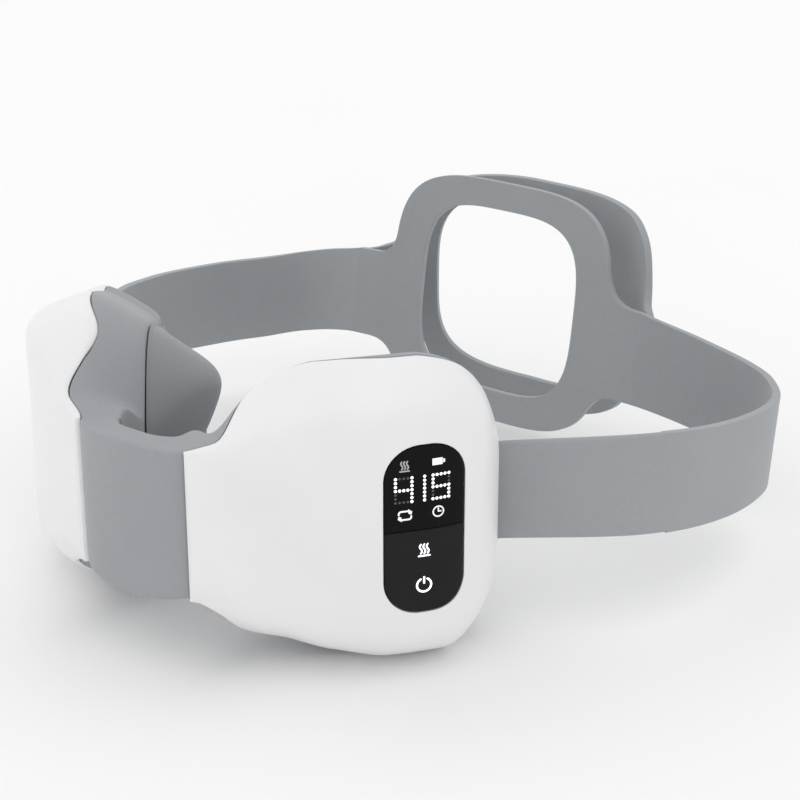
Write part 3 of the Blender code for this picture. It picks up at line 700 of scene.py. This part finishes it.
def stroke(pts, width, closed=False):
    """Quads along a line, as separate short outlines that meet at each joint."""
    out = []
    pts = [np.array(p, float) for p in pts]
    pairs = list(zip(pts, pts[1:])) + ([(pts[-1], pts[0])] if closed else [])
    poly_l, poly_r = [], []
    n = len(pts)
    for i, p in enumerate(pts):
        a = pts[(i - 1) % n] if closed or i > 0 else p
        b = pts[(i + 1) % n] if closed or i < n - 1 else p
        d = b - a
        d = d / max(1e-9, np.hypot(*d))
        q = np.array([-d[1], d[0]]) * width / 2
        poly_l.append(p + q)
        poly_r.append(p - q)
    m = n if closed else n - 1
    for i in range(m):
        j = (i + 1) % n
        out.append([poly_l[i], poly_l[j], poly_r[j], poly_r[i]])
    return out


def ribbon(pts, width):
    """One closed outline round an open line, with round ends."""
    pts = [np.array(p, float) for p in pts]
    left, right = [], []
    for i, p in enumerate(pts):
        d = pts[min(i + 1, len(pts) - 1)] - pts[max(i - 1, 0)]
        d = d / max(1e-9, np.hypot(*d))
        q = np.array([-d[1], d[0]]) * width / 2
        left.append(p + q)
        right.append(p - q)
    def cap(c, frm, turn):
        v = frm - c
        return [c + np.array([v[0] * math.cos(a) - v[1] * math.sin(a), v[0] * math.sin(a) + v[1] * math.cos(a)])
                for a in [turn * math.pi * k / 6 for k in range(1, 6)]]
    return left + cap(pts[-1], left[-1], -1) + right[::-1] + cap(pts[0], right[0], -1)


def heat_icon(cs, cz, k, width):
    """Three wavy lines over a bar."""
    out = []
    for dx in (-1.0, 0.0, 1.0):
        pts = []
        for i in range(17):
            t = i / 16
            pts.append((cs + k * (dx * 0.62 + 0.20 * math.sin(2 * math.pi * t)), cz + k * (-0.55 + 1.75 * t)))
        out.append(ribbon(pts, width))
    out.append(ribbon([(cs - k * 1.0, cz - k * 1.0), (cs + k * 1.0, cz - k * 1.0)], width))
    return out


def arc(cs, cz, r, a0, a1, n=28, sq=1.0):
    return [(cs + r * math.cos(math.radians(a0 + (a1 - a0) * i / n)), cz + sq * r * math.sin(math.radians(a0 + (a1 - a0) * i / n))) for i in range(n + 1)]


def build_marks():
    pitch_s, pitch_z, r = 0.98, 1.0, 0.37
    lit, dim = [], []

    def dots(cs, cz, on, cols, rows):
        for i in range(cols):
            for j in range(rows):
                edge = i in (0, cols - 1) or j in (0, 3, rows - 1)
                if cols > 1 and not edge:
                    continue
                p = disc(cs + (i - (cols - 1) / 2) * pitch_s, cz + (3 - j) * pitch_z, r if on(i, j) else 0.30)
                (lit if on(i, j) else dim).append(p)

    def four(i, j):
        return i == 4 or j == 3 or (i == 0 and j <= 3)

    def five(i, j):
        return j in (0, 3, 6) or (i == 0 and j <= 3) or (i == 4 and j >= 3)
    dots(47.9, 50.2, four, 5, 7)
    dots(52.9, 50.2, lambda i, j: True, 1, 7)
    dots(56.9, 50.2, five, 5, 7)
    marks("digits_lit", lit, LIT, "right_pod")
    marks("digits_dim", dim, DIM, "right_pod")
    # small status icons
    grey = heat_icon(48.1, 56.1, 1.1, 0.34)
    marks("icon_heat_small", grey, ICON_GREY, "right_pod")
    c = (56.2, 56.5)
    bat = [[(c[0] - 1.45, c[1] - 0.85), (c[0] + 1.05, c[1] - 0.85), (c[0] + 1.05, c[1] + 0.85), (c[0] - 1.45, c[1] + 0.85)],
           [(c[0] + 1.2, c[1] - 0.5), (c[0] + 1.65, c[1] - 0.4), (c[0] + 1.65, c[1] + 0.4), (c[0] + 1.2, c[1] + 0.5)]]
    marks("icon_battery", bat, ICON, "right_pod")
    c = (48.2, 43.8)
    cyc = [ribbon([(c[0] - 1.5, c[1] + 0.25)] + arc(c[0] - 0.9, c[1] + 0.45, 0.6, 180, 90, 6) + [(c[0] + 1.1, c[1] + 1.05)], 0.42),
           ribbon([(c[0] + 1.5, c[1] - 0.25)] + arc(c[0] + 0.9, c[1] - 0.45, 0.6, 0, -90, 6) + [(c[0] - 1.1, c[1] - 1.05)], 0.42),
           [(c[0] + 0.75, c[1] + 1.55), (c[0] + 1.75, c[1] + 0.85), (c[0] + 1.5, c[1] + 0.1), (c[0] + 0.85, c[1] + 0.4)],
           [(c[0] - 0.75, c[1] - 1.55), (c[0] - 1.75, c[1] - 0.85), (c[0] - 1.5, c[1] - 0.1), (c[0] - 0.85, c[1] - 0.4)]]
    marks("icon_cycle", cyc, ICON, "right_pod")
    c = (56.3, 43.8)
    clock = stroke(arc(c[0], c[1], 1.28, 0, 352, 36), 0.34, True)
    clock += [ribbon([(c[0], c[1] + 0.75), (c[0], c[1]), (c[0] + 0.62, c[1])], 0.36)]
    marks("icon_clock", clock, ICON, "right_pod")
    # key marks
    marks("icon_heat", heat_icon(52.9, 34.2, 1.35, 0.42), LIT, "key", 0.03)
    c = (52.9, 25.2)
    power = [ribbon(arc(c[0], c[1], 1.75, 118, 422, 40), 0.50), ribbon([(c[0], c[1] + 0.55), (c[0], c[1] + 2.05)], 0.50)]
    marks("icon_power", power, LIT, "key", 0.03)


# ------------------------------------------------------------------ strap and ring
def catmull(pts, per):
    pts = np.array(pts, float)
    out = []
    for i in range(len(pts) - 1):
        a, b, c, d = pts[max(0, i - 1)], pts[i], pts[i + 1], pts[min(len(pts) - 1, i + 2)]
        for k in range(per):
            t = k / per
            out.append(0.5 * (2 * b + (c - a) * t + (2 * a - 5 * b + 4 * c - d) * t * t + (3 * b - a - 3 * c + d) * t ** 3))
    out.append(pts[-1])
    return np.array(out)


def hang(side, i):
    """How much lower the plain pod's strap hangs along its way."""
    return 1.8 * float(smooth(1.1, 2.2, i / PER) * (1 - smooth(5.0, 7.2, i / PER))) if side < 0 else 0.0


def ring_y(z):
    return RING_Y - RING_LEAN * (z - RING_ZC)


STRAP_Z = 37.4
E0 = (BX + 65.5 * CA - 4.0 * SA, 65.5 * SA + 4.0 * CA)
E1 = (BX + 78.0 * CA - 3.4 * SA, 78.0 * SA + 3.4 * CA)
WAY = [(*E0, STRAP_Z, 0.0), (*E1, STRAP_Z, 0.0), (89.4, 84.5, 38.2, -0.10), (98.0, 110.0, 35.0, -0.02), (97.2, 136.0, 31.9, 0.06),
       (90.4, 149.6, 31.6, 0.04), (80.8, 155.0, 33.0, 0.03), (64.0, 154.0, 37.2, 0.08), (50.0, 151.0, 40.7, 0.14)]
PER = 20
LINE = catmull(WAY, PER)
SPLIT = int(9 / 4 * PER)
STRAP_H, STRAP_T = 13.0, 2.2


def strap_section(half, thick, r, rows=10):
    """Closed section (out, up) with round edges."""
    h = thick / 2
    pts = []
    for a0, cx, cz in ((0, h - r, half - r), (90, -h + r, half - r), (180, -h + r, -half + r), (270, h - r, -half + r)):
        for k in range(7):
            a = math.radians(a0 + 15 * k)
            pts.append((cx + r * math.cos(a), cz + r * math.sin(a)))
        if a0 == 90:
            pts += [(-h, z) for z in np.linspace(half - r, -half + r, rows)[1:-1]]
        if a0 == 270:
            pts += [(h, z) for z in np.linspace(-half + r, half - r, rows)[1:-1]]
    return np.array(pts)


def build_strap(side, tag, a, b, name):
    sec = strap_section(STRAP_H, STRAP_T, 0.95)
    rings = []
    for i in range(a, b + 1):
        x, y, z, lean = LINE[i]
        z = z - hang(side, i)
        p, q = LINE[max(0, i - 1)], LINE[min(len(LINE) - 1, i + 1)]
        d = q[:2] - p[:2]
        d = d / np.hypot(*d)
        nx, ny = d[1], -d[0]
        c, sn = math.cos(lean), math.sin(lean)
        out = sec[:, 0] * c + sec[:, 1] * sn
        up = -sec[:, 0] * sn + sec[:, 1] * c
        rings.append(np.stack([side * (x + nx * out), y + ny * out - Y_MID, z + up], -1) * MM)
    n = len(sec)
    faces = rings_faces(len(rings), n, False, False)
    faces.append(tuple(range(n)))
    faces.append(tuple((len(rings) - 1) * n + i for i in range(n)))
    return obj_from(name, np.concatenate(rings), faces, 50)


ARCH = catmull([(0.0, 172.2), (20.0, 171.4), (33.0, 168.8), (41.0, 164.4), (45.6, 159.2), (48.2, 154.8), (50.6, 152.6)], 24)
ARCH_LEN = np.concatenate([[0], np.cumsum(np.hypot(*np.diff(ARCH, axis=0).T))])


def plan_inner(x, z):
    return x, ring_y(z) + 1.6 * (1 - (x / 50) ** 2), z


def plan_outer(u, z):
    """u is the length along the outer ply's curve from its middle."""
    s, m = np.abs(u), np.where(u >= 0, 1.0, -1.0)
    y = np.interp(s, ARCH_LEN, ARCH[:, 1]) + 0.15 * (z - EAR_Z) * smooth(ARCH_LEN[-1] - 16, ARCH_LEN[-1] - 1, s)
    return m * np.interp(s, ARCH_LEN, ARCH[:, 0]), y, z


def ring_flat(a, b, n, ear_x, open_a, open_b, zc, open_zc, rows):
    """Columns of flat places from the opening to the outline, with spokes through the ears' corners."""
    count = 360
    sunk = ear_x > 52                        # the outer ply's ends sink into the band
    half = STRAP_H - (1.2 if sunk else 0.0)

    def outside(x, z):
        m, u = np.abs(x), np.asarray(z, float) - zc
        wide, tall = np.full(np.shape(m + u), a), np.full(np.shape(m + u), b)
        if sunk:
            wide = np.where(u < 0, a - 12.5, np.where(x < 0, a - 8.5, a))
            tall = b - np.where((x < 0) & (u > 0), 2.6, np.where((x > 0) & (u < 0), 3.2, 0.0)) * smooth(0, 36, m)
        fx, fz = m / wide, np.abs(u) / tall
        f = (fx ** n + fz ** n) ** (1 / n) + 1e-9
        gx, gz = (fx / f) ** (n - 1) / wide, (fz / f) ** (n - 1) / tall
        d1 = (f - 1) / np.maximum(1e-6, np.hypot(gx, gz))
        d2 = np.abs(z - EAR_Z) - (STRAP_H - (1.2 * smooth(ear_x - 12, ear_x, m) if sunk else 0.0))
        k = np.where((u > 0) & (x > 0), 11.0, 7.5)
        h = np.maximum(k - np.abs(d1 - d2), 0) / k
        return (m <= ear_x) & (np.minimum(d1, d2) - h * h * k / 4 <= 0)

    def hole(x, z):
        wide = np.where((x > 0) & sunk, open_a - 3.5, open_a)
        tall = np.where((z < open_zc) & sunk, open_b - 1.6, open_b)
        return (np.abs(x) / wide) ** 3.6 + (np.abs(z - open_zc) / tall) ** 3.6 <= 1
    zo = (zc + open_zc) / 2
    ang = 2 * np.pi * (np.arange(count) + 0.5) / count
    zt = EAR_Z + half
    zb = EAR_Z - half
    corner = []
    for sx in (1, -1):
        for zz in (zt, zb):
            q = math.atan2(zz - zo, sx * ear_x) % (2 * math.pi)
            k = int(np.argmin(np.abs(ang - q)))
            ang[k] = q
            corner.append(k)
    ro = reach_all(outside, 0, zo, ang)
    for k in corner:
        ro[k] = ear_x / abs(math.cos(ang[k]))
    ri = reach_all(hole, 0, zo, ang)
    f = np.concatenate([[0, 0.05], np.linspace(0.14, 0.86, rows - 4), [0.95, 1.0]])
    r = ri[None] + (ro - ri)[None] * f[:, None]
    return r * np.cos(ang)[None], zo + r * np.sin(ang)[None], ang, corner


def thicken(name, verts, faces, thick, round_mm):
    """A sheet given its thickness and rounded rims."""
    o = obj_from(name, verts, faces, 0)
    m = o.modifiers.new("thick", "SOLIDIFY")
    m.thickness, m.offset, m.use_even_offset = thick * MM, 0.0, True
    b = o.modifiers.new("round", "BEVEL")
    b.width, b.segments, b.limit_method, b.angle_limit = round_mm * MM, 4, "ANGLE", math.radians(60)
    apply_mods(o)
    o.data.shade_smooth()
    o.data.set_sharp_from_angle(angle=math.radians(50))
    return o


def build_back():
    """Both rear straps and the ring's inner ply, moulded as one."""
    rows = 16
    x, z, ang, corner = ring_flat(37.0, 34.8, 3.8, 49.4, 26.8, 26.4, 46.7, 47.2, rows)
    n = x.shape[1]
    px, py, pz = plan_inner(x, z)
    grid = np.stack([px, py, pz], -1)                  # rows, columns, place
    verts = [tuple(p) for p in grid.reshape(-1, 3)]
    faces = []
    for i in range(rows - 1):
        for k in range(n):
            faces.append((i * n + k, i * n + (k + 1) % n, (i + 1) * n + (k + 1) % n, (i + 1) * n + k))
    sheets = []
    for sx, (kt, kb) in ((1, (corner[0], corner[1])), (-1, (corner[2], corner[3]))):
        cols = []
        k = kb if sx > 0 else kt                       # anticlockwise over the ear
        end = kt if sx > 0 else kb
        while True:
            cols.append(k)
            if k == end:
                break
            k = (k + 1) % n
        v = (z[-1, cols] - EAR_Z) / STRAP_H
        last = [(rows - 1) * n + k for k in cols]
        chain = [list(last)]
        for i in list(range(len(LINE) - 3, SPLIT - 1, -1)) + [-1]:
            back = 0.0
            if i < 0:                                  # the rounded end is sunk in the front strap
                i, back = SPLIT, 0.93
            p, q = LINE[max(0, i - 1)], LINE[min(len(LINE) - 1, i + 1)]
            d = (q[:2] - p[:2]) / np.hypot(*(q[:2] - p[:2]))
            lx, ly, lz, lean = LINE[i]
            lx, ly, lz = lx - d[0] * back, ly - d[1] * back, lz - hang(sx, i)
            nx, ny = d[1], -d[0]
            up = v * STRAP_H
            new = []
            for w in up:
                out = w * math.sin(lean)
                new.append(len(verts))
                verts.append((sx * (lx + nx * out), ly + ny * out, lz + w * math.cos(lean)))
            for c in range(len(cols) - 1):
                faces.append((last[c], last[c + 1], new[c + 1], new[c]))
            last = new
            chain.append(new)
        sheets.append(chain)
    v = np.array(verts)
    for chain in sheets:                               # ease the bend where strap and ring meet
        ids = np.array(chain[:34])
        for _ in range(60):
            a, b, c = v[ids[:-2]], v[ids[1:-1]], v[ids[2:]]
            la = np.linalg.norm(b - a, axis=-1, keepdims=True) + 1e-6
            lc = np.linalg.norm(c - b, axis=-1, keepdims=True) + 1e-6
            aim = (a * lc + c * la) / (la + lc)
            new = b.copy()
            new[..., 1] = 0.5 * b[..., 1] + 0.5 * aim[..., 1]
            new[..., 2] = 0.5 * b[..., 2] + 0.5 * aim[..., 2]
            v[ids[1:-1]] = new
    v[:, 1] -= Y_MID
    o = thicken("strap_back_skin", v * MM, faces, STRAP_T, 0.9)
    dress(o, STRAP)
    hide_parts("strap_rear_right", "strap_rear_left", "ring_inner_ply")
    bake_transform(o)
    return o


def build_outer_ply():
    rows = 16
    x, z, ang, corner = ring_flat(51.0, 36.0, 3.8, float(ARCH_LEN[-1]), 33.0, 28.0, 43.6, 43.4, rows)
    n = x.shape[1]
    px, py, pz = plan_outer(x, z)
    v = np.stack([px, py - Y_MID, pz], -1).reshape(-1, 3)
    faces = [(i * n + k, i * n + (k + 1) % n, (i + 1) * n + (k + 1) % n, (i + 1) * n + k) for i in range(rows - 1) for k in range(n)]
    o = thicken("ring_outer_skin", v * MM, faces, STRAP_T, 0.9)
    dress(o, STRAP, "back_ring")
    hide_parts("ring_outer_ply")
    return o


for side, tag in ((1, "right"), (-1, "left")):
    build_shell(side, tag, side > 0)
    build_housing(side, tag)
    build_cushion(side, tag)
    o = build_strap(side, tag, 0, SPLIT, f"strap_front_skin_{tag}")
    dress(o, STRAP)
    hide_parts(f"strap_front_{tag}")
    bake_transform(o)
build_panel()
build_marks()
build_back()
build_outer_ply()

# ------------------------------------------------------------------ inner pieces keep their CAD shape
INNER = {"flex_cable": FILM, "display_module": DARK, "main_board": BOARD, "switch_heat": DARK, "switch_power": DARK,
         "charging_inlet": STEEL, "battery": CELL}
for tag in ("right", "left"):
    INNER.update({f"heat_film_{tag}": FILM, f"motor_can_{tag}": STEEL, f"motor_rotor_{tag}": STEEL,
                  f"strap_anchor_{tag}": DARK, f"screw_{tag}_1": STEEL, f"screw_{tag}_2": STEEL})
for node, mat in INNER.items():
    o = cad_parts[node]
    for k in range(max(1, len(o.material_slots))):
        if k < len(o.material_slots):
            o.material_slots[k].material = mat
        else:
            o.data.materials.append(mat)

# ------------------------------------------------------------------ stage, light, camera
bpy.ops.mesh.primitive_plane_add(size=8.0, location=(0, 0, -0.0002))
floor = bpy.context.object
floor.name = "studio_floor"
fm, nt, b = new_mat("pale_floor")
v = tex_coord(nt, 1.0)
nt.links.new(ramp(nt, noise(nt, v, 6.0, 2.0), [(0.3, (0.93, 0.93, 0.93)), (0.7, (0.94, 0.94, 0.94))]), b.inputs["Base Color"])
b.inputs["Roughness"].default_value = 0.9
b.inputs["Specular IOR Level"].default_value = 0.1
floor.data.materials.append(fm)

world = bpy.data.worlds.new("studio")
bpy.context.scene.world = world
world.use_nodes = True
bg = world.node_tree.nodes["Background"]
bg.inputs["Color"].default_value = (1, 1, 1, 1)
bg.inputs["Strength"].default_value = 0.90


def area(name, loc, target, size, power):
    d = bpy.data.lights.new(name, "AREA")
    d.shape, d.size, d.energy = "DISK", size, power
    o = bpy.data.objects.new(name, d)
    bpy.context.scene.collection.objects.link(o)
    o.location = loc
    o.rotation_euler = (Vector(target) - Vector(loc)).to_track_quat("-Z", "Y").to_euler()
    return o


sun = bpy.data.lights.new("soft_sky", "SUN")
sun.energy, sun.angle = 0.45, math.radians(120)
so = bpy.data.objects.new("soft_sky", sun)
bpy.context.scene.collection.objects.link(so)
so.rotation_euler = (Vector((0.25, 0.15, -1)).to_track_quat("-Z", "Y")).to_euler()

cam = bpy.data.cameras.new("camera")
co = bpy.data.objects.new("camera", cam)
bpy.context.scene.collection.objects.link(co)
PSI, TH = 0.6423524, 0.3934865
co.location = (0.31107, -0.31023 - Y_MID * MM, 0.24624)
fwd = Vector((-math.sin(PSI) * math.cos(TH), math.cos(PSI) * math.cos(TH), -math.sin(TH)))
co.rotation_euler = fwd.to_track_quat("-Z", "Y").to_euler()
cam.sensor_width = 36.0
cam.lens = 2019.59 / 800 * 36
cam.shift_y = 2.64 / 800
cam.clip_start, cam.clip_end = 0.02, 20
bpy.context.scene.camera = co
bpy.context.scene.view_settings.view_transform = "Standard"
bpy.context.scene.view_settings.look = "None"
